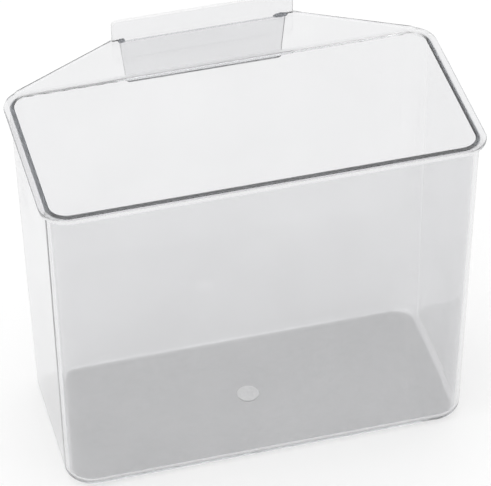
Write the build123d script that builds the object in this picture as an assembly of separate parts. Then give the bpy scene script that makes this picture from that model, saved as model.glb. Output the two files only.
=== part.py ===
from build123d import *
from math import asin, atan, cos, sin, tan
import os

# Specimen container for an aquarium: a clear moulded tub that hangs on a tank's edge.
# Two clear pieces. The tub has its rim lip and its hanger shelf moulded on, and the
# hook plate is a flat plate that drops into a notch in the shelf and is bonded there.
#
# Millimetres. The origin is on the ground under the middle of the base, +Z is up,
# +X is to the viewer's right, and +Y points from the front wall to the hook plate.

# Tub: outside sizes of the walls at the rim, and how far each wall leans in at the base
rim_length = 210.0
rim_depth = 99.0
wall_lean = 3.3
tub_height = 176.0
wall = 2.2
base_thickness = 2.6
rim_corner_radius = 11.0
base_corner_radius = 14.5
base_edge_radius = 6.0
mouth_edge_radius = 0.6

# Lip: the narrow ledge that runs round the outside of the rim
lip_reach = 3.0
lip_thickness = 2.2
lip_edge_radius = 0.7

# Hanger shelf: the trapezoid behind the back wall, at the height of the rim
shelf_root_inset = 6.0
shelf_back_width = 93.0
shelf_corner_radius = 2.0
tank_edge_gap = 28.5

# Hook plate: a head above the shelf, shoulders that rest on it, and a tongue that
# hangs behind the tank's edge and narrows to its tip
plate_thickness = 2.2
head_end_margin = 0.5
head_height = 11.7
head_corner_radius = 3.0
shoulder = 3.6
tongue_side_lean = 2.7
tongue_drop = 23.3
tongue_corner_radius = 2.0
plate_edge_radius = 0.5
bond_gap = 0.1

# Gate mark: the shallow dimple under the base where the tub was filled in its mould
gate_dimple_diameter = 10.0
gate_dimple_depth = 0.8
gate_stub_diameter = 3.0
gate_stub_height = 0.5

# How far cutting shapes run past what they cut
overlap = 1.0
corner_overrun = 5.0

back_wall_y = rim_depth / 2
plate_front_y = back_wall_y + tank_edge_gap
plate_back_y = plate_front_y + plate_thickness
shelf_underside_z = tub_height - lip_thickness
shelf_root_width = rim_length - 2 * shelf_root_inset
head_width = shelf_back_width - 2 * head_end_margin
tongue_top_width = head_width - 2 * shoulder
tongue_tip_width = tongue_top_width - 2 * tongue_side_lean


def outline(height, inset):
    """Length, depth and corner radius of the walls at a height, drawn in by an inset."""
    share = height / tub_height
    length = rim_length - 2 * wall_lean * (1 - share) - 2 * inset
    depth = rim_depth - 2 * wall_lean * (1 - share) - 2 * inset
    radius = base_corner_radius + (rim_corner_radius - base_corner_radius) * share - inset
    return length, depth, radius


def corner_centre(height, inset):
    """The centre of the back right corner's curve at a height."""
    length, depth, radius = outline(height, inset)
    return Vector(length / 2 - radius, depth / 2 - radius, height)


def corner_cutter(floor, inset):
    """What comes off a sharp corner, to leave a cone that touches both flat walls."""
    low = floor - corner_overrun
    high = tub_height + corner_overrun
    start = corner_centre(low, inset)
    axis = corner_centre(high, inset) - start
    along = axis.normalized()

    # The cone's axis leans with the corner, so its radii across the axis differ a hair
    # from the level ones. The two angles give the radii at which it just touches.
    wall_angle = atan(wall_lean / tub_height)
    cone_angle = asin(along.X * cos(wall_angle) - along.Z * sin(wall_angle))
    across = cos(wall_angle) / cos(cone_angle)
    low_radius = outline(low, inset)[2] * across
    high_radius = outline(high, inset)[2] * across
    frame = Plane(start, x_dir=(1, -1, 0), z_dir=axis)
    cone = Solid.make_cone(low_radius, high_radius, axis.length, frame)

    # The cutter's inner sides run from the axis to the lines where cone and walls touch.
    half_angle = atan(1 / (along.Z + 2 * along.X * tan(wall_angle)))
    reach = rim_corner_radius + base_corner_radius
    aside = reach * sin(half_angle)
    out = reach * cos(half_angle)
    kite = Polygon((0, 0), (aside, out), (0, 2 * out), (-aside, out), align=None)
    return extrude(frame * kite, axis.length, dir=axis) - cone


def leaning_block(floor, inset):
    """A block with flat leaning sides, whose rounded corners widen towards the base."""
    length, depth, radius = outline(floor, inset)
    top_length, top_depth, top_radius = outline(tub_height, inset)
    block = Wedge(
        length,
        tub_height - floor,
        depth,
        (length - top_length) / 2,
        (depth - top_depth) / 2,
        (length + top_length) / 2,
        (depth + top_depth) / 2,
        align=(Align.CENTER, Align.MIN, Align.CENTER),
    )
    block = Pos(0, 0, floor) * Rot(90, 0, 0) * block
    right_back = corner_cutter(floor, inset)
    right_front = mirror(right_back, Plane.XZ)
    left_back = mirror(right_back, Plane.YZ)
    left_front = mirror(right_front, Plane.YZ)
    return block - right_back - right_front - left_back - left_front


def make_tub():
    """The moulded tub: leaning walls, base, lip and hanger shelf in one piece."""
    outside = leaning_block(0, 0)
    outside = fillet(outside.edges().group_by(Axis.Z)[0], base_edge_radius)
    inside = leaning_block(base_thickness, wall)
    inside = fillet(inside.edges().group_by(Axis.Z)[0], base_edge_radius - wall)

    # The lip's outline and the shelf's are one flat sheet at the height of the rim.
    lip_length = rim_length + 2 * lip_reach
    lip_depth = rim_depth + 2 * lip_reach
    lip = RectangleRounded(lip_length, lip_depth, rim_corner_radius + lip_reach)
    root_y = lip_depth / 2
    shelf = Polygon(
        (-shelf_root_width / 2, root_y - overlap),
        (shelf_root_width / 2, root_y - overlap),
        (shelf_root_width / 2, root_y),
        (shelf_back_width / 2, plate_back_y),
        (-shelf_back_width / 2, plate_back_y),
        (-shelf_root_width / 2, root_y),
        align=None,
    )
    shelf = fillet(shelf.vertices().group_by(Axis.Y)[-1], shelf_corner_radius)
    sheet = lip + shelf

    # The notch that takes the tongue is open at the shelf's back edge.
    notch_width = tongue_top_width + 2 * bond_gap
    notch_depth = plate_thickness + bond_gap
    notch_middle_y = plate_back_y - notch_depth / 2 + overlap / 2
    sheet -= Pos(0, notch_middle_y) * Rectangle(notch_width, notch_depth + overlap)
    rim = extrude(Pos(0, 0, shelf_underside_z) * sheet, lip_thickness)
    rim = round_rim(rim)

    tub = outside + rim - inside
    mouth = tub.faces().sort_by(Axis.Z)[-1].inner_wires()[0]
    tub = fillet(mouth.edges(), mouth_edge_radius)
    return tub - gate_dimple()


def round_rim(rim):
    """Round the long outer edges of the rim sheet, but leave the notch sharp."""
    top = rim.faces().sort_by(Axis.Z)[-1]
    bottom = rim.faces().sort_by(Axis.Z)[0]
    edges = top.outer_wire().edges() + bottom.outer_wire().edges()
    back_line = plate_front_y - bond_gap - overlap
    edges = edges.filter_by(lambda edge: edge.center().Y < back_line)
    return fillet(edges, lip_edge_radius)


def gate_dimple():
    """The dimple that keeps the gate's stub off the ground, as a shape to cut away."""
    dimple = extrude(Circle(gate_dimple_diameter / 2), gate_dimple_depth)
    stub = extrude(Circle(gate_stub_diameter / 2), gate_stub_height)
    stub = Pos(0, 0, gate_dimple_depth - gate_stub_height) * stub
    return dimple - stub


def make_hook_plate():
    """The flat plate: its head stands on the shelf and its tongue goes through the notch."""
    head_z = tub_height + head_height
    tip_z = shelf_underside_z - tongue_drop
    side_view = Plane((0, plate_back_y, 0), x_dir=(1, 0, 0), z_dir=(0, -1, 0))
    outline = Polygon(
        (-tongue_tip_width / 2, tip_z),
        (tongue_tip_width / 2, tip_z),
        (tongue_top_width / 2, tub_height),
        (head_width / 2, tub_height),
        (head_width / 2, head_z),
        (-head_width / 2, head_z),
        (-head_width / 2, tub_height),
        (-tongue_top_width / 2, tub_height),
        align=None,
    )
    corners = outline.vertices().group_by(Axis.Y)
    outline = fillet(corners[-1], head_corner_radius)
    outline = fillet(outline.vertices().group_by(Axis.Y)[0], tongue_corner_radius)
    plate = extrude(side_view * outline, plate_thickness)

    # Both faces are eased all the way round.
    faces = plate.faces().sort_by(Axis.Y)
    return fillet(faces[0].edges() + faces[-1].edges(), plate_edge_radius)


os.makedirs("parts", exist_ok=True)
tub = make_tub()
hook_plate = make_hook_plate()
export_step(tub, "parts/tub.step")
export_step(hook_plate, "parts/hook_plate.step")
print("tub", round(tub.volume / 1000, 1), "cm3, hook plate", round(hook_plate.volume / 1000, 1), "cm3")
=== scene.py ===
# Looks of a clear moulded specimen container for an aquarium: the tub with its lip and
# hanger shelf, the hook plate bonded into the shelf, and a plain white studio.
# Laid out as an add-on and run as a script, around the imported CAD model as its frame.

import math

import bmesh
import bpy
from bpy.props import FloatProperty, FloatVectorProperty, IntProperty, PointerProperty
from mathutils import Matrix, Vector


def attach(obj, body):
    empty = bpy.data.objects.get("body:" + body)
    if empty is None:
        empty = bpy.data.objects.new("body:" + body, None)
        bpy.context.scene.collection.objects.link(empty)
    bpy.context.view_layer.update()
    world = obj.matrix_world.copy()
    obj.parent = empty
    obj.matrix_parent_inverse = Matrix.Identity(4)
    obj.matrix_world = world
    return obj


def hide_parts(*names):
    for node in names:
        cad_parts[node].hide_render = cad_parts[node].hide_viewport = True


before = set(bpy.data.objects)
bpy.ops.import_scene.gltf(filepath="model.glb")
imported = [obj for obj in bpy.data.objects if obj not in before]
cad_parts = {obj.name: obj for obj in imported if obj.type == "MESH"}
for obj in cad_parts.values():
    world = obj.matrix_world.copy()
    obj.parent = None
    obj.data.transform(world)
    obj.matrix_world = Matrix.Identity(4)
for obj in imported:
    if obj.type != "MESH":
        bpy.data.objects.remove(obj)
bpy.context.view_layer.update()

bl_info = {
    "name": "Specimen container",
    "version": (1, 0, 0),
    "blender": (4, 5, 0),
    "location": "View3D > Sidebar > Specimen",
    "description": "Builds a clear hang-on specimen container and its white studio",
    "category": "Object",
}

MM = 0.001
CLOSE = 0.001 * MM
BODY = "root"

# Fits that the moulding and the beads share
BOND_GAP = 0.1 * MM
FILM_GAP = 0.02 * MM

# The shelf grows from the lip's faces up to SHELF_START in front of the lip's back edge,
# and narrow columns of faces start its sides
SHELF_START = 1.6 * MM
SHELF_COLUMN = 1.7 * MM

# The ripple in a bead's skin
RIPPLE = 0.10
RIPPLE_WAVES = 2600.0
RIPPLE_SHIFT = 1.3
BEAD_OVERHANG = 1.2 * MM

# Faces round the base's outer and inner edges, the mouth's edge, a lip's or sheet's edge,
# a corner of the plate and the gate's circles
OUTER_STEPS = 7
INNER_STEPS = 6
MOUTH_STEPS = 3
EASED_STEPS = 3
PLATE_CORNER_STEPS = 8
GATE_STEPS = 32

# Edges that turn by more than this stay sharp, on flat pieces and on small round ones
FLAT_ANGLE = math.radians(32)
ROUND_ANGLE = math.radians(60)

# The floor's half width, and how far it lies under the base so that they don't touch
FLOOR_REACH = 6.0
FLOOR_DROP = 0.02 * MM


def length(name, millimetres, about):
    """A length that a user may change, given in millimetres and kept in metres."""
    return FloatProperty(name=name, description=about, default=millimetres * MM,
                         min=0.0, precision=5, subtype="DISTANCE", unit="LENGTH")


def colour(name, rgb, about):
    """A colour that a user may change."""
    return FloatVectorProperty(name=name, description=about, default=rgb, size=3,
                               min=0.0, max=1.0, subtype="COLOR")


def share(name, value, about):
    """A number from 0 to 1 that a user may change."""
    return FloatProperty(name=name, description=about, default=value, min=0.0, max=1.0,
                         subtype="FACTOR")


class TubSizes(bpy.types.PropertyGroup):
    """Sizes of the moulded tub, its lip and its hanger shelf."""
    rim_length: length("Rim length", 210.0, "Outside length of the walls at the rim")
    rim_depth: length("Rim depth", 99.0, "Outside depth of the walls at the rim")
    wall_lean: length("Wall lean", 3.3, "How far each wall leans in from rim to base")
    height: length("Height", 176.0, "Height of the rim above the ground")
    wall: length("Wall", 2.2, "Thickness of the walls")
    base: length("Base", 2.6, "Thickness of the base")
    rim_corner: length("Rim corner", 11.0, "Corner radius at the rim")
    base_corner: length("Base corner", 14.5, "Corner radius at the base")
    base_edge: length("Base edge", 6.0, "Radius round the outside of the base")
    mouth_edge: length("Mouth edge", 1.0, "Radius round the inside of the rim")
    lip_reach: length("Lip reach", 3.0, "How far the lip stands out from the walls")
    lip_thickness: length("Lip thickness", 2.2, "Thickness of the lip and the shelf")
    lip_edge: length("Lip edge", 0.7, "Radius of the lip's edges")
    shelf_root: length("Shelf root", 198.0, "Width of the shelf where it leaves the lip")
    shelf_back: length("Shelf back", 93.0, "Width of the shelf at its back edge")
    shelf_corner: length("Shelf corner", 2.0, "Radius of the shelf's back corners")
    tank_gap: length("Tank gap", 28.5, "Gap between the back wall and the hook plate")
    notch_width: length("Notch width", 85.0, "Width of the notch for the hook plate")
    notch_depth: length("Notch depth", 2.3, "Depth of the notch for the hook plate")
    gate_radius: length("Gate radius", 5.0, "Radius of the gate dimple under the base")
    gate_depth: length("Gate depth", 0.8, "Depth of the gate dimple under the base")
    stub_radius: length("Stub radius", 1.5, "Radius of the gate's stub in its dimple")
    stub_height: length("Stub height", 0.5, "Height of the gate's stub in its dimple")
    corner_steps: IntProperty(name="Corner steps", description="Faces round each corner",
                              default=12, min=4, max=48)


class HookPlateSizes(bpy.types.PropertyGroup):
    """Sizes of the flat hook plate."""
    thickness: length("Thickness", 2.2, "Thickness of the plate")
    head_width: length("Head width", 92.0, "Width of the head above the shelf")
    head_height: length("Head height", 11.7, "Height of the head above the shelf")
    head_corner: length("Head corner", 3.0, "Radius of the head's top corners")
    tongue_top: length("Tongue top", 84.8, "Width of the tongue at the shelf")
    tongue_tip: length("Tongue tip", 79.4, "Width of the tongue at its tip")
    tongue_drop: length("Tongue drop", 25.5, "Length of the tongue below the rim")
    tongue_corner: length("Tongue corner", 2.0, "Radius of the tongue's corners")
    edge: length("Edge", 0.5, "Radius of the plate's eased edges")


class BondSizes(bpy.types.PropertyGroup):
    """Sizes of the beads of clear cement at the ends of the plate's joint."""
    left_length: length("Left bead", 3.6, "Length of the bead at the joint's left end")
    right_length: length("Right bead", 7.6, "Length of the bead at the joint's right end")
    height: length("Height", 1.5, "How high a bead stands on the shelf")
    depth: length("Depth", 1.7, "How far a bead reaches in front of the plate")


class BlushSizes(bpy.types.PropertyGroup):
    """Sizes of the white blush over the gate."""
    radius: length("Radius", 5.6, "Radius of the blush")
    thickness: length("Thickness", 0.08, "Thickness of the blush")


class PlasticFinish(bpy.types.PropertyGroup):
    """How the clear plastic looks."""
    tint: colour("Tint", (0.851, 0.852, 0.859), "Colour of light that has passed a wall")
    depth_tint: colour("Depth tint", (0.50, 0.53, 0.57), "Colour that long ways leave")
    density: FloatProperty(name="Density", description="How fast the plastic darkens light",
                           default=3.8, min=0.0)
    bend: FloatProperty(name="Bend", description="Refractive index of the plastic",
                        default=1.49, min=1.0, max=2.0)
    gloss: share("Roughness", 0.02, "Roughness where the plastic is clean")
    haze: share("Haze", 0.07, "Roughness where it is smudged")
    rim_rough: share("Rim roughness", 0.45, "Roughness of the walls' top edge")
    scuff_rough: share("Scuffs", 0.20, "Roughness of the base's scuffed underside")
    # Painted shade: the base's underside lets only this share of the tint's light by. This greys
    # the base as a shadow would; the scuffs' roughness is real.
    base_painted_shade: share("Painted shade on base", 0.74, "Share of the tint's light let through the underside, a painted shade")
    gate_white: colour("Gate white", (0.96, 0.96, 0.96), "Colour of the gate's blush")
    tip_tint: colour("Sawn tip", (0.36, 0.37, 0.39), "Colour of the tongue's sawn tip")
    edge_tint: colour("Sheet edge", (0.93, 0.93, 0.93), "Colour of the sheet's other edges")
    edge_rough: share("Edge roughness", 0.40, "Roughness of the sheet's edges")
    cement: colour("Cement", (0.30, 0.31, 0.33), "Tint of the cement beads")
    cement_bend: FloatProperty(name="Cement's bend", description="Its refractive index",
                               default=1.46, min=1.0, max=2.0)


class StudioSettings(bpy.types.PropertyGroup):
    """The camera's place and the studio's light."""
    yaw: FloatProperty(name="Yaw", description="Turn of the camera about the vertical",
                       default=math.radians(14.178), subtype="ANGLE", unit="ROTATION")
    elevation: FloatProperty(name="Elevation", description="Camera's angle above level",
                             default=math.radians(39.567), subtype="ANGLE", unit="ROTATION")
    roll: FloatProperty(name="Roll", description="Turn of the camera about its view",
                        default=math.radians(-0.849), subtype="ANGLE", unit="ROTATION")
    distance: length("Distance", 1629.49, "From the camera to the tub's middle")
    slide: FloatProperty(name="Slide", description="Tub's middle right of the view's middle",
                         default=-0.018 * MM, subtype="DISTANCE", unit="LENGTH")
    lift: FloatProperty(name="Lift", description="Tub's middle above the view's middle",
                        default=-8.922 * MM, subtype="DISTANCE", unit="LENGTH")
    aim_height: length("Aim height", 89.0, "Height of the tub's middle")
    focal: FloatProperty(name="Focal length", description="In millimetres on a 36 mm sensor",
                         default=243.22, min=1.0)
    floor_colour: colour("Floor", (0.95, 0.95, 0.95), "Colour of the floor")
    floor_glow: share("Floor glow", 0.60, "Share of pure white in what is seen of the floor")
    fill: share("Fill", 0.80, "Strength of the light from all round")
    key_power: FloatProperty(name="Key power", description="Power of the overhead light, W",
                             default=4.9, min=0.0)
    bounces: IntProperty(name="Bounces", description="How often light may turn in the plastic",
                         default=48, min=4, max=128)


# Mesh helpers

def rounded_loop(bm, size_x, size_y, radius, z, steps):
    """Edges of a level rounded rectangle, made from one square face."""
    verts = bmesh.ops.create_grid(bm, x_segments=1, y_segments=1, size=0.5)["verts"]
    bmesh.ops.scale(bm, verts=verts, vec=(size_x, size_y, 1.0))
    bmesh.ops.translate(bm, verts=verts, vec=(0.0, 0.0, z))
    made = bmesh.ops.bevel(bm, geom=verts, offset=radius, offset_type="OFFSET",
                           affect="VERTICES", segments=steps, profile=0.5, material=-1)
    face = made["verts"][0].link_faces[0]
    edges = list(face.edges)
    bmesh.ops.delete(bm, geom=[face], context="FACES_ONLY")
    return edges


def round_loop(bm, radius, z, steps):
    """Edges of a level circle."""
    verts = bmesh.ops.create_circle(bm, segments=steps, radius=radius)["verts"]
    bmesh.ops.translate(bm, verts=verts, vec=(0.0, 0.0, z))
    return list(dict.fromkeys(edge for vert in verts for edge in vert.link_edges))


def skin(bm, loops):
    """Joins each loop of edges to the next, by a bridge or by a flat ring of faces."""
    for first, second in zip(loops, loops[1:]):
        rise = first[0].verts[0].co.z - second[0].verts[0].co.z
        if abs(rise) > CLOSE:
            bmesh.ops.bridge_loops(bm, edges=first + second)
        else:
            bmesh.ops.triangle_fill(bm, edges=first + second, use_beauty=True)


def put_in_order(bm):
    """Numbers corners and faces by their place, so that each run gives the same mesh."""
    for index, vert in enumerate(sorted(bm.verts, key=lambda v: v.co[:])):
        vert.index = index
    bm.verts.sort()
    for index, face in enumerate(sorted(bm.faces, key=lambda f: sorted(v.index for v in f.verts))):
        face.index = index
    bm.faces.sort()


def finish_mesh(bm, name, sharp_angle):
    """A smooth-shaded object of the mesh, whose flat faces stay flat."""
    bmesh.ops.remove_doubles(bm, verts=bm.verts, dist=2 * CLOSE)
    bmesh.ops.recalc_face_normals(bm, faces=bm.faces)
    if not all(edge.is_manifold for edge in bm.edges):
        raise RuntimeError(name + " isn't closed: its sizes don't fit together")
    put_in_order(bm)
    mesh = bpy.data.meshes.new(name)
    bm.to_mesh(mesh)
    bm.free()
    mesh.polygons.foreach_set("use_smooth", [True] * len(mesh.polygons))
    mesh.set_sharp_from_angle(angle=sharp_angle)
    piece = bpy.data.objects.new(name, mesh)
    bpy.context.scene.collection.objects.link(piece)
    weighted = piece.modifiers.new("Flat faces stay flat", "WEIGHTED_NORMAL")
    weighted.keep_sharp = True
    weighted.weight = 100
    return piece


# The tub

def outline(s, z, inset):
    """Length, depth and corner radius of the walls at a height, drawn in by an inset."""
    part = z / s.height
    size_x = s.rim_length - 2 * s.wall_lean * (1 - part) - 2 * inset
    size_y = s.rim_depth - 2 * s.wall_lean * (1 - part) - 2 * inset
    radius = s.base_corner + (s.rim_corner - s.base_corner) * part - inset
    return size_x, size_y, radius


def wall_curve(s, wall_inset, centre_z, radius, side, up, steps):
    """Heights and insets along a rounding that ends on a leaning wall.

    side is 1 where the rounding lies inside the wall's line and -1 where it lies beyond
    it, and up is 1 where it turns over the top and -1 where it turns under.
    """
    lean = math.atan(s.wall_lean / s.height)
    points = []
    for step in range(steps + 1):
        turn = (math.pi / 2 - lean) * step / steps
        z = centre_z + up * radius * math.cos(turn)
        from_centre = wall_inset + side * (radius / math.cos(lean) - radius * math.sin(turn))
        points.append((z, from_centre + (z - centre_z) * math.tan(lean)))
    return points


def shelf_lines(s):
    """How far behind the tub's middle the shelf starts, its notch ends and it ends."""
    root_y = s.rim_depth / 2 + s.lip_reach
    notch_y = s.rim_depth / 2 + s.tank_gap - BOND_GAP
    return root_y, notch_y, notch_y + s.notch_depth


def shelf_side(s, y):
    """Half the width of the shelf at a distance behind the tub's middle."""
    root_y, _, back_y = shelf_lines(s)
    part = (y - root_y) / (back_y - root_y)
    return (s.shelf_root + (s.shelf_back - s.shelf_root) * part) / 2


def extrude_back(bm, faces, places):
    """Extrudes the faces of the lip's or shelf's edge, and sets their corners by place.

    places gives, from the middle outwards, x and y for each column of corners.
    """
    made = bmesh.ops.extrude_face_region(bm, geom=faces)["geom"]
    bmesh.ops.delete(bm, geom=faces, context="FACES")
    verts = [item for item in made if isinstance(item, bmesh.types.BMVert)]
    for sign in (-1, 1):
        column = sorted((v for v in verts if v.co.x * sign > 0), key=lambda v: abs(v.co.x))
        for index, vert in enumerate(column):
            x, y = places[index // 2]
            vert.co.x, vert.co.y = sign * x, y
    return [item for item in made if isinstance(item, bmesh.types.BMFace)]


def add_shelf(bm, s):
    """Draws the hanger shelf out of the back of the lip, with its notch."""
    root_y, notch_y, back_y = shelf_lines(s)
    low_z = s.height - s.lip_thickness
    edge_faces = []
    for face in bm.faces:
        middle = face.calc_center_median()
        if (abs(face.normal.z) < 0.5 and middle.z > low_z - CLOSE
                and middle.y > root_y - SHELF_START and abs(middle.x) < s.shelf_root / 2):
            edge_faces.append(face)
    corners = {v for f in edge_faces for v in f.verts}
    columns = sorted({round(abs(v.co.x), 6) for v in corners})
    root_x = [columns[0], columns[0] + SHELF_COLUMN, columns[0] + 2 * SHELF_COLUMN,
              s.shelf_root / 2]
    for vert in corners:
        index = columns.index(round(abs(vert.co.x), 6))
        vert.co.x = math.copysign(root_x[index], vert.co.x)
        vert.co.y = root_y
    side_x = shelf_side(s, notch_y)
    half_notch = s.notch_width / 2
    step = (side_x - half_notch) / 3
    first = [(half_notch + step * n, notch_y) for n in range(4)]
    faces = extrude_back(bm, edge_faces, first)
    ears = [f for f in faces if abs(f.calc_center_median().x) > half_notch]
    run_x = (s.shelf_root - s.shelf_back) / 2
    turn = math.atan2(back_y - root_y, run_x)
    reach = s.shelf_corner * math.tan(turn / 2)
    corner_x = s.shelf_back / 2
    on_side = (corner_x + reach * math.cos(turn), back_y - reach * math.sin(turn))
    middle = (corner_x, back_y - reach * math.tan(turn / 4))
    second = [(half_notch, back_y), (corner_x - reach, back_y), middle, on_side]
    extrude_back(bm, ears, second)


def lip_edges(bm, s):
    """The long outer edges of the lip and the shelf, without the notch and back edge."""
    notch_y = shelf_lines(s)[1]
    low_z = s.height - s.lip_thickness
    size_x, size_y, _ = outline(s, s.height, 0.0)
    chosen = []
    for edge in bm.edges:
        if len(edge.link_faces) != 2:
            continue
        a, b = edge.verts
        level = abs(a.co.z - b.co.z) < CLOSE
        outer = a.co.z > low_z - CLOSE
        tops = sorted(abs(f.normal.z) for f in edge.link_faces)
        if not (level and outer and tops[0] < 0.5 and tops[1] > 0.9):
            continue
        middle = (a.co + b.co) / 2
        if middle.y < notch_y - CLOSE:
            beyond = abs(middle.x) > size_x / 2 or abs(middle.y) > size_y / 2
            if beyond or on_lip_corner(s, middle):
                chosen.append(edge)
        elif (abs(middle.x) > shelf_side(s, middle.y) - 2 * BOND_GAP
                and abs(a.co.y - b.co.y) > s.shelf_corner / 2):
            chosen.append(edge)
    return chosen


def on_lip_corner(s, point):
    """True for a point outside the walls' rounded corner at the rim."""
    size_x, size_y, radius = outline(s, s.height, 0.0)
    across = Vector((abs(point.x) - size_x / 2 + radius, abs(point.y) - size_y / 2 + radius))
    return min(across) > 0 and across.length > radius + 0.5 * s.lip_reach


def tub_mesh(s):
    """The whole moulding as one closed skin."""
    bm = bmesh.new()
    steps = s.corner_steps
    outside = wall_curve(s, 0.0, s.base_edge, s.base_edge, 1, -1, OUTER_STEPS)
    inner_edge = s.base_edge - s.wall
    inside = wall_curve(s, s.wall, s.base + inner_edge, inner_edge, 1, -1, INNER_STEPS)
    mouth = wall_curve(s, s.wall, s.height - s.mouth_edge, s.mouth_edge, -1, 1, MOUTH_STEPS)

    def loop(z, inset):
        return rounded_loop(bm, *outline(s, z, inset), z, steps)

    low_z = s.height - s.lip_thickness
    loops = [loop(z, inset) for z, inset in outside]
    loops.append(loop(low_z, 0.0))
    lip_x = s.rim_length + 2 * s.lip_reach
    lip_y = s.rim_depth + 2 * s.lip_reach
    lip_r = s.rim_corner + s.lip_reach
    loops.append(rounded_loop(bm, lip_x, lip_y, lip_r, low_z, steps))
    loops.append(rounded_loop(bm, lip_x, lip_y, lip_r, s.height, steps))
    loops += [loop(z, inset) for z, inset in mouth]
    loops += [loop(z, inset) for z, inset in reversed(inside)]
    base_outer, base_inner = loops[0], loops[-1]
    skin(bm, loops)
    bmesh.ops.contextual_create(bm, geom=base_inner)

    gate = [round_loop(bm, s.gate_radius, 0.0, GATE_STEPS),
            round_loop(bm, s.gate_radius, s.gate_depth, GATE_STEPS),
            round_loop(bm, s.stub_radius, s.gate_depth, GATE_STEPS),
            round_loop(bm, s.stub_radius, s.gate_depth - s.stub_height, GATE_STEPS)]
    skin(bm, [base_outer] + gate)
    bmesh.ops.contextual_create(bm, geom=gate[-1])

    bmesh.ops.recalc_face_normals(bm, faces=bm.faces)
    bm.normal_update()
    add_shelf(bm, s)
    bmesh.ops.recalc_face_normals(bm, faces=bm.faces)
    bm.normal_update()
    bmesh.ops.bevel(bm, geom=lip_edges(bm, s), offset=s.lip_edge, offset_type="OFFSET",
                    affect="EDGES", segments=EASED_STEPS, profile=0.5, material=-1)
    return bm


# The hook plate

def plate_mesh(s, t):
    """The flat hook plate: head, shoulders and tapering tongue, with eased edges."""
    bm = bmesh.new()
    front_y = t.rim_depth / 2 + t.tank_gap
    head_z = t.height + s.head_height
    tip_z = t.height - s.tongue_drop
    half = [(s.tongue_tip / 2, tip_z), (s.tongue_top / 2, t.height),
            (s.head_width / 2, t.height), (s.head_width / 2, head_z)]
    corners = half + [(-x, z) for x, z in reversed(half)]
    verts = [bm.verts.new((x, front_y, z)) for x, z in corners]
    bm.faces.new(verts)
    for z, radius in ((head_z, s.head_corner), (tip_z, s.tongue_corner)):
        ends = [v for v in bm.verts if abs(v.co.z - z) < CLOSE]
        bmesh.ops.bevel(bm, geom=ends, offset=radius, offset_type="OFFSET",
                        affect="VERTICES", segments=PLATE_CORNER_STEPS, profile=0.5,
                        material=-1)
    made = bmesh.ops.extrude_face_region(bm, geom=list(bm.faces))["geom"]
    moved = [item for item in made if isinstance(item, bmesh.types.BMVert)]
    bmesh.ops.translate(bm, verts=moved, vec=(0.0, s.thickness, 0.0))
    bmesh.ops.recalc_face_normals(bm, faces=bm.faces)
    bm.normal_update()
    rims = [e for e in bm.edges if len(e.link_faces) == 2
            and abs(e.verts[0].co.y - e.verts[1].co.y) < CLOSE]
    bmesh.ops.bevel(bm, geom=rims, offset=s.edge, offset_type="OFFSET", affect="EDGES",
                    segments=EASED_STEPS, profile=0.5, material=-1)
    for face in bm.faces:
        if abs(face.normal.y) < 0.9:
            at_tip = face.calc_center_median().z < tip_z + s.edge
            face.material_index = 1 if at_tip else 2
    return bm


# The gate's blush

def blush_mesh(t, s):
    """A round film on the inside of the base, over the gate, with a soft edge."""
    bm = bmesh.new()
    bmesh.ops.create_circle(bm, cap_ends=True, segments=48, radius=s.radius)
    made = bmesh.ops.extrude_face_region(bm, geom=list(bm.faces))["geom"]
    top = [item for item in made if isinstance(item, bmesh.types.BMVert)]
    bmesh.ops.translate(bm, verts=top, vec=(0.0, 0.0, s.thickness))
    bmesh.ops.recalc_face_normals(bm, faces=bm.faces)
    upper = [e for e in bm.edges if all(v.co.z > s.thickness / 2 for v in e.verts)]
    bmesh.ops.bevel(bm, geom=upper, offset=s.thickness * 0.8, offset_type="OFFSET",
                    affect="EDGES", segments=EASED_STEPS, profile=0.5, material=-1)
    bmesh.ops.translate(bm, verts=bm.verts, vec=(0.0, 0.0, t.base + FILM_GAP))
    return bm


# The bond

def bead_mesh(t, s, bead_length, side):
    """A bead of cement in the angle of shelf and plate, at one end of the notch.

    side is -1 for the left end and 1 for the right end.
    """
    bm = bmesh.new()
    bmesh.ops.create_icosphere(bm, subdivisions=4, radius=0.5)
    front_y = t.rim_depth / 2 + t.tank_gap
    bmesh.ops.scale(bm, verts=bm.verts, vec=(bead_length, 2 * s.depth, 2 * s.height))
    for vert in bm.verts:
        ripple = 1 + RIPPLE * math.sin(RIPPLE_WAVES * vert.co.x + RIPPLE_SHIFT * side)
        vert.co.y *= ripple
        vert.co.z *= ripple
    middle_x = (t.notch_width - bead_length + BEAD_OVERHANG) / 2
    centre = Vector((side * middle_x, front_y, t.height))
    bmesh.ops.translate(bm, verts=bm.verts, vec=centre)
    for point, normal in (((0.0, front_y - FILM_GAP, 0.0), (0.0, 1.0, 0.0)),
                          ((0.0, 0.0, t.height + FILM_GAP), (0.0, 0.0, -1.0))):
        cut = bmesh.ops.bisect_plane(bm, geom=list(bm.verts) + list(bm.edges) + list(bm.faces),
                                     plane_co=point, plane_no=normal, clear_outer=True)
        edges = [item for item in cut["geom_cut"] if isinstance(item, bmesh.types.BMEdge)]
        bmesh.ops.contextual_create(bm, geom=edges)
    return bm


# Materials

def node(tree, kind, **inputs):
    """A node of a material, with values on its own sockets. _ stands for a space."""
    made = tree.nodes.new(kind)
    for name, value in inputs.items():
        made.inputs[name.replace("_", " ")].default_value = value
    return made


def math_node(tree, operation, first, second, clamp=False):
    """The result of a sum on two values, each a socket or a number."""
    made = tree.nodes.new("ShaderNodeMath")
    made.operation = operation
    made.use_clamp = clamp
    for socket, value in zip(made.inputs, (first, second)):
        if isinstance(value, bpy.types.NodeSocket):
            tree.links.new(value, socket)
        else:
            socket.default_value = value
    return made.outputs[0]


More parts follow.
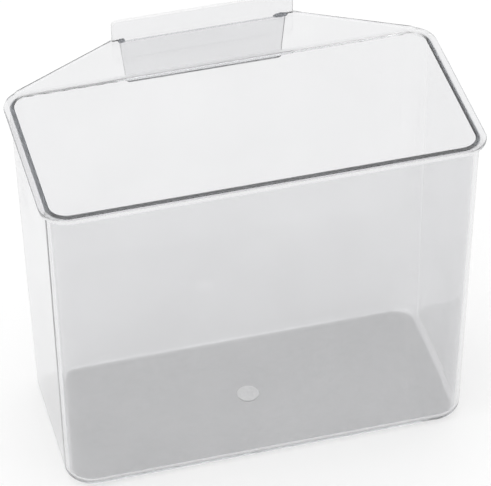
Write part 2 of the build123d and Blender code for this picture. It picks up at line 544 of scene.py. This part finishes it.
def spread(tree, value, lowest, highest, first, last):
    """Spreads a value from one range to another, and holds it at the ends."""
    made = node(tree, "ShaderNodeMapRange", From_Min=lowest, From_Max=highest,
                To_Min=first, To_Max=last)
    tree.links.new(value, made.inputs["Value"])
    return made.outputs["Result"]


def new_plastic(name, bend, clearness):
    """A material with a plastic shader that bends light, and lets a share of it through."""
    material = bpy.data.materials.new(name)
    material.use_nodes = True
    tree = material.node_tree
    tree.nodes.clear()
    out = tree.nodes.new("ShaderNodeOutputMaterial")
    plastic = tree.nodes.new("ShaderNodeBsdfPrincipled")
    plastic.inputs["IOR"].default_value = bend
    plastic.inputs["Transmission Weight"].default_value = clearness
    tree.links.new(plastic.outputs["BSDF"], out.inputs["Surface"])
    place = tree.nodes.new("ShaderNodeTexCoord").outputs["Object"]
    return material, tree, plastic, place


def soak_up_light(material, finish):
    """Makes the plastic darken light on long ways, such as those along a wall."""
    tree = material.node_tree
    absorb = tree.nodes.new("ShaderNodeVolumeAbsorption")
    absorb.inputs["Color"].default_value = (*finish.depth_tint, 1.0)
    absorb.inputs["Density"].default_value = finish.density
    out = next(n for n in tree.nodes if n.bl_idname == "ShaderNodeOutputMaterial")
    tree.links.new(absorb.outputs["Volume"], out.inputs["Volume"])


def shaded(tree, colour_value, pattern, darkest, lightest, dim=1.0):
    """A colour made a little darker and lighter by a pattern, and darker by dim, which paints
    shade.
    """
    shade = tree.nodes.new("ShaderNodeVectorMath")
    shade.operation = "SCALE"
    shade.inputs[0].default_value = colour_value
    scale = math_node(tree, "MULTIPLY", spread(tree, pattern, 0.3, 0.7, darkest, lightest), dim)
    tree.links.new(scale, shade.inputs["Scale"])
    return shade.outputs["Vector"]


def noise(tree, place, scale, detail, rough=0.5):
    """A cloudy pattern from 0 to 1."""
    made = node(tree, "ShaderNodeTexNoise", Scale=scale, Detail=detail, Roughness=rough)
    tree.links.new(place, made.inputs["Vector"])
    return made.outputs["Fac"]


def streaks(tree, place, turn, scale):
    """A place stretched along one direction, for scratches and saw marks."""
    made = tree.nodes.new("ShaderNodeMapping")
    made.inputs["Rotation"].default_value = turn
    made.inputs["Scale"].default_value = scale
    tree.links.new(place, made.inputs["Vector"])
    return made.outputs["Vector"]


def bump(tree, height, strength, distance, normal=None):
    """A normal that follows a height, over another bump's normal if one is given."""
    made = node(tree, "ShaderNodeBump", Strength=strength, Distance=distance)
    tree.links.new(height, made.inputs["Height"])
    if normal:
        tree.links.new(normal, made.inputs["Normal"])
    return made.outputs["Normal"]


def apart(tree, place):
    """The X, Y and Z outputs of a place."""
    made = tree.nodes.new("ShaderNodeSeparateXYZ")
    tree.links.new(place, made.inputs["Vector"])
    return made.outputs


def rim_top(tree, place, t):
    """1 on the walls' top edge, which the mould leaves a little satin, and 0 elsewhere."""
    parts = apart(tree, place)
    beyond = []
    for axis, size in (("X", t.rim_length), ("Y", t.rim_depth)):
        reach = math_node(tree, "ABSOLUTE", parts[axis], 0.0)
        beyond.append(math_node(tree, "SUBTRACT", reach, size / 2))
    outside = math_node(tree, "MAXIMUM", *beyond)
    ring = spread(tree, outside, 0.0, 0.8 * MM, 1.0, 0.0)
    high = spread(tree, parts["Z"], t.height - 0.8 * MM, t.height - 0.5 * MM, 0.0, 1.0)
    return math_node(tree, "MULTIPLY", ring, high)


def underside(tree, place, t):
    """1 on the base's underside, which standing and sliding have scuffed, else 0. The same mask
    also places the painted shade that greys the base.
    """
    low = spread(tree, apart(tree, place)["Z"], 0.4 * MM, 1.0 * MM, 1.0, 0.0)
    scuffs = noise(tree, place, scale=260.0, detail=4.0, rough=0.6)
    return math_node(tree, "MULTIPLY", low, spread(tree, scuffs, 0.35, 0.65, 0.8, 1.0))


def clear_plastic(name, finish, seed, places, t):
    """Clear glossy plastic with faint smudges, hairline scratches and mould waviness.

    places are rougher places: for each, a function that finds it, its roughness and the
    share of the tint's light that it lets by, which paints shade there. t holds the tub's
    sizes, by which they are found.
    """
    material, tree, plastic, place = new_plastic(name, finish.bend, 1.0)
    link = tree.links.new

    smudges = noise(tree, place, scale=28.0 + seed, detail=5.0, rough=0.55)
    rough = spread(tree, smudges, 0.48, 0.72, finish.gloss, finish.haze)
    dim = 1.0
    for find, roughness, let_by in places:
        there = find(tree, place, t)
        rough = math_node(tree, "MAXIMUM", rough, spread(tree, there, 0.0, 1.0, 0.0, roughness))
        # Painted shade: a place's share below 1 darkens the tint, so the scuffed underside greys
        # the base as a shadow would.
        dim = math_node(tree, "MULTIPLY", spread(tree, there, 0.0, 1.0, 1.0, let_by), dim)
    link(rough, plastic.inputs["Roughness"])

    patches = noise(tree, place, scale=22.0, detail=3.0)
    link(shaded(tree, finish.tint, patches, 0.985, 1.015, dim), plastic.inputs["Base Color"])

    hairs = streaks(tree, place, turn=(0.4, 0.3, 0.6 + 0.1 * seed), scale=(900.0, 900.0, 14.0))
    scratches = spread(tree, noise(tree, hairs, scale=1.0, detail=2.0), 0.70, 0.78, 0.0, 1.0)
    fine = bump(tree, scratches, strength=0.08, distance=0.02 * MM)
    waves = noise(tree, place, scale=14.0, detail=1.0, rough=0.4)
    link(bump(tree, waves, strength=0.15, distance=0.2 * MM, normal=fine),
         plastic.inputs["Normal"])
    return material


def sheet_edge(name, finish, tint):
    """An edge of the sheet: matt, with the saw's marks across it."""
    material, tree, plastic, place = new_plastic(name, finish.bend, 0.3)
    link = tree.links.new
    stretched = streaks(tree, place, turn=(0.0, 0.0, 0.0), scale=(2600.0, 300.0, 2600.0))
    strokes = noise(tree, stretched, scale=1.0, detail=2.0)
    link(shaded(tree, tint, strokes, 0.9, 1.06), plastic.inputs["Base Color"])
    link(spread(tree, strokes, 0.3, 0.7, finish.edge_rough - 0.06, finish.edge_rough + 0.08),
         plastic.inputs["Roughness"])
    link(bump(tree, strokes, strength=0.3, distance=0.05 * MM), plastic.inputs["Normal"])
    return material


def blush_material(finish):
    """The white blush over the gate, cloudy and matt."""
    material, tree, blush, place = new_plastic("gate_blush_white", finish.bend, 0.0)
    link = tree.links.new
    cloud = noise(tree, place, scale=600.0, detail=4.0, rough=0.6)
    link(shaded(tree, finish.gate_white, cloud, 0.90, 1.06), blush.inputs["Base Color"])
    link(spread(tree, cloud, 0.3, 0.7, 0.45, 0.65), blush.inputs["Roughness"])
    link(bump(tree, cloud, strength=0.3, distance=0.05 * MM), blush.inputs["Normal"])
    return material


def cement_material(finish):
    """Set clear cement: denser than the plastic, with a rippled skin."""
    material, tree, bead, place = new_plastic("set_cement", finish.cement_bend, 0.85)
    link = tree.links.new
    cloud = noise(tree, place, scale=700.0, detail=3.0)
    link(shaded(tree, finish.cement, cloud, 0.8, 1.2), bead.inputs["Base Color"])
    link(spread(tree, cloud, 0.3, 0.7, 0.08, 0.25), bead.inputs["Roughness"])
    link(bump(tree, cloud, strength=0.4, distance=0.2 * MM), bead.inputs["Normal"])
    return material


def seen_directly(tree):
    """1 for what is seen, straight or by a mirror or clear plastic, and 0 for lighting."""
    path = tree.nodes.new("ShaderNodeLightPath")
    seen = math_node(tree, "ADD", path.outputs["Is Camera Ray"],
                     path.outputs["Is Glossy Ray"], True)
    seen = math_node(tree, "ADD", seen, path.outputs["Is Transmission Ray"], True)
    unscattered = math_node(tree, "LESS_THAN", path.outputs["Diffuse Depth"], 0.5)
    return math_node(tree, "MULTIPLY", seen, unscattered)


def floor_material(rgb, glow_share):
    """A matt pale floor that the eye sees as white, and that keeps a soft shadow."""
    material = bpy.data.materials.new("studio_floor")
    material.use_nodes = True
    tree = material.node_tree
    tree.nodes.clear()
    link = tree.links.new
    out = tree.nodes.new("ShaderNodeOutputMaterial")
    matt = node(tree, "ShaderNodeBsdfDiffuse", Color=(*rgb, 1.0))
    glow = node(tree, "ShaderNodeEmission", Color=(1.0, 1.0, 1.0, 1.0), Strength=1.0)
    blend = tree.nodes.new("ShaderNodeMixShader")
    link(math_node(tree, "MULTIPLY", seen_directly(tree), glow_share), blend.inputs["Fac"])
    link(matt.outputs[0], blend.inputs[1])
    link(glow.outputs[0], blend.inputs[2])
    side = tree.nodes.new("ShaderNodeNewGeometry")
    clear = tree.nodes.new("ShaderNodeBsdfTransparent")
    under = tree.nodes.new("ShaderNodeMixShader")
    link(side.outputs["Backfacing"], under.inputs["Fac"])
    link(blend.outputs[0], under.inputs[1])
    link(clear.outputs[0], under.inputs[2])
    link(under.outputs[0], out.inputs["Surface"])
    return material


# Operators

class SPECIMEN_OT_tub(bpy.types.Operator):
    """Builds the moulded tub and puts it in place of its CAD solid"""
    bl_idname = "specimen.tub"
    bl_label = "Moulded tub"

    def execute(self, context):
        scene = context.scene
        piece = finish_mesh(tub_mesh(scene.specimen_tub), "tub_moulding", FLAT_ANGLE)
        finish = scene.specimen_finish
        # The underside is rougher from real scuffs, and darker by a painted shade that greys the
        # base.
        places = ((rim_top, finish.rim_rough, 1.0),
                  (underside, finish.scuff_rough, finish.base_painted_shade))
        plastic = clear_plastic("clear_moulding", finish, 0, places, scene.specimen_tub)
        soak_up_light(plastic, finish)
        piece.data.materials.append(plastic)
        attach(piece, BODY)
        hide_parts("tub")
        return {"FINISHED"}


class SPECIMEN_OT_hook_plate(bpy.types.Operator):
    """Builds the hook plate and puts it in place of its CAD solid"""
    bl_idname = "specimen.hook_plate"
    bl_label = "Hook plate"

    def execute(self, context):
        scene = context.scene
        mesh = plate_mesh(scene.specimen_plate, scene.specimen_tub)
        piece = finish_mesh(mesh, "hook_plate_sheet", FLAT_ANGLE)
        finish = scene.specimen_finish
        for material in (clear_plastic("clear_sheet", finish, 3, (), scene.specimen_tub),
                         sheet_edge("sawn_tip", finish, finish.tip_tint),
                         sheet_edge("matt_edges", finish, finish.edge_tint)):
            piece.data.materials.append(material)
        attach(piece, BODY)
        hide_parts("hook_plate")
        return {"FINISHED"}


class SPECIMEN_OT_gate_blush(bpy.types.Operator):
    """Builds the white blush that the gate left in the middle of the base"""
    bl_idname = "specimen.gate_blush"
    bl_label = "Gate blush"

    def execute(self, context):
        scene = context.scene
        mesh = blush_mesh(scene.specimen_tub, scene.specimen_blush)
        piece = finish_mesh(mesh, "gate_blush", ROUND_ANGLE)
        piece.data.materials.append(blush_material(scene.specimen_finish))
        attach(piece, BODY)
        return {"FINISHED"}


class SPECIMEN_OT_bond(bpy.types.Operator):
    """Builds the two beads of cement at the ends of the joint of plate and shelf"""
    bl_idname = "specimen.bond"
    bl_label = "Bond beads"

    def execute(self, context):
        scene = context.scene
        material = cement_material(scene.specimen_finish)
        for side, bead in (("left", scene.specimen_bond.left_length),
                           ("right", scene.specimen_bond.right_length)):
            mesh = bead_mesh(scene.specimen_tub, scene.specimen_bond, bead,
                             -1 if side == "left" else 1)
            piece = finish_mesh(mesh, "bond_bead_" + side, ROUND_ANGLE)
            piece.data.materials.append(material)
            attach(piece, BODY)
        return {"FINISHED"}


class SPECIMEN_OT_studio(bpy.types.Operator):
    """Sets up the white studio: floor, world, soft lights and camera"""
    bl_idname = "specimen.studio"
    bl_label = "White studio"

    def execute(self, context):
        scene = context.scene
        s = scene.specimen_studio
        make_floor(s)
        make_world(s)
        make_lights(s)
        make_camera(s)
        scene.view_settings.view_transform = "Standard"
        scene.cycles.max_bounces = s.bounces
        scene.cycles.glossy_bounces = s.bounces
        scene.cycles.transmission_bounces = s.bounces
        return {"FINISHED"}


def make_floor(s):
    """A level floor that the container stands on."""
    bm = bmesh.new()
    bmesh.ops.create_grid(bm, x_segments=1, y_segments=1, size=FLOOR_REACH)
    mesh = bpy.data.meshes.new("floor")
    bm.to_mesh(mesh)
    bm.free()
    floor = bpy.data.objects.new("floor", mesh)
    floor.location.z = -FLOOR_DROP
    bpy.context.scene.collection.objects.link(floor)
    mesh.materials.append(floor_material(s.floor_colour, s.floor_glow))


def make_world(s):
    """White surroundings that give an even light."""
    world = bpy.data.worlds.new("white_studio")
    bpy.context.scene.world = world
    world.use_nodes = True
    tree = world.node_tree
    tree.nodes.clear()
    out = tree.nodes.new("ShaderNodeOutputWorld")
    light = node(tree, "ShaderNodeBackground", Color=(1.0, 1.0, 1.0, 1.0), Strength=s.fill)
    white = node(tree, "ShaderNodeBackground", Color=(1.0, 1.0, 1.0, 1.0), Strength=1.0)
    blend = tree.nodes.new("ShaderNodeMixShader")
    tree.links.new(seen_directly(tree), blend.inputs["Fac"])
    tree.links.new(light.outputs[0], blend.inputs[1])
    tree.links.new(white.outputs[0], blend.inputs[2])
    tree.links.new(blend.outputs[0], out.inputs["Surface"])


def make_lights(s):
    """A large soft lamp overhead and a weaker one from the left, aimed at the tub."""
    target = Vector((0.0, 0.0, 0.09))
    for name, place, size, power in (
        ("overhead", (0.0, 0.1, 1.1), 1.2, s.key_power),
        ("left", (-1.2, -0.2, 0.9), 0.8, s.key_power * 0.6),
    ):
        data = bpy.data.lights.new(name, "AREA")
        data.shape = "DISK"
        data.size = size
        data.energy = power
        lamp = bpy.data.objects.new(name, data)
        lamp.location = place
        aim = target - lamp.location
        lamp.rotation_euler = aim.to_track_quat("-Z", "Y").to_euler()
        bpy.context.scene.collection.objects.link(lamp)


def make_camera(s):
    """The camera, placed by its angles round the tub's middle."""
    ahead = Vector((math.cos(s.elevation) * math.sin(s.yaw),
                    math.cos(s.elevation) * math.cos(s.yaw), -math.sin(s.elevation)))
    level = Vector((math.cos(s.yaw), -math.sin(s.yaw), 0.0))
    upright = level.cross(ahead)
    right = math.cos(s.roll) * level + math.sin(s.roll) * upright
    up = math.cos(s.roll) * upright - math.sin(s.roll) * level
    eye = Vector((0.0, 0.0, s.aim_height)) - s.distance * ahead - s.slide * right - s.lift * up
    data = bpy.data.cameras.new("camera")
    data.sensor_width = 36.0
    data.lens = s.focal
    data.clip_start = 0.05
    data.clip_end = 30.0
    camera = bpy.data.objects.new("camera", data)
    turn = Matrix((right, up, -ahead)).transposed().to_4x4()
    camera.matrix_world = Matrix.Translation(eye) @ turn
    bpy.context.scene.collection.objects.link(camera)
    bpy.context.scene.camera = camera


class SPECIMEN_PT_panel(bpy.types.Panel):
    """Lists the container's pieces and their sizes"""
    bl_idname = "SPECIMEN_PT_panel"
    bl_label = "Specimen container"
    bl_space_type = "VIEW_3D"
    bl_region_type = "UI"
    bl_category = "Specimen"

    def draw(self, context):
        scene = context.scene
        for title, settings, operator in (
            ("Tub", scene.specimen_tub, "specimen.tub"),
            ("Hook plate", scene.specimen_plate, "specimen.hook_plate"),
            ("Gate blush", scene.specimen_blush, "specimen.gate_blush"),
            ("Bond", scene.specimen_bond, "specimen.bond"),
            ("Plastic", scene.specimen_finish, None),
            ("Studio", scene.specimen_studio, "specimen.studio"),
        ):
            box = self.layout.box()
            box.label(text=title)
            for name in settings.__annotations__:
                box.prop(settings, name)
            if operator:
                box.operator(operator)


CLASSES = (TubSizes, HookPlateSizes, BondSizes, BlushSizes, PlasticFinish, StudioSettings,
           SPECIMEN_OT_tub, SPECIMEN_OT_hook_plate, SPECIMEN_OT_gate_blush,
           SPECIMEN_OT_bond, SPECIMEN_OT_studio, SPECIMEN_PT_panel)
SETTINGS = {"specimen_tub": TubSizes, "specimen_plate": HookPlateSizes,
            "specimen_bond": BondSizes, "specimen_blush": BlushSizes,
            "specimen_finish": PlasticFinish, "specimen_studio": StudioSettings}


def register():
    """Adds the classes and the scene's settings."""
    for item in CLASSES:
        bpy.utils.register_class(item)
    for name, kind in SETTINGS.items():
        setattr(bpy.types.Scene, name, PointerProperty(type=kind))


def unregister():
    """Takes away what register added."""
    for name in SETTINGS:
        delattr(bpy.types.Scene, name)
    for item in reversed(CLASSES):
        bpy.utils.unregister_class(item)


def main():
    """Builds every piece and the studio."""
    register()
    bpy.ops.specimen.tub()
    bpy.ops.specimen.hook_plate()
    bpy.ops.specimen.gate_blush()
    bpy.ops.specimen.bond()
    bpy.ops.specimen.studio()


if __name__ == "__main__":
    main()
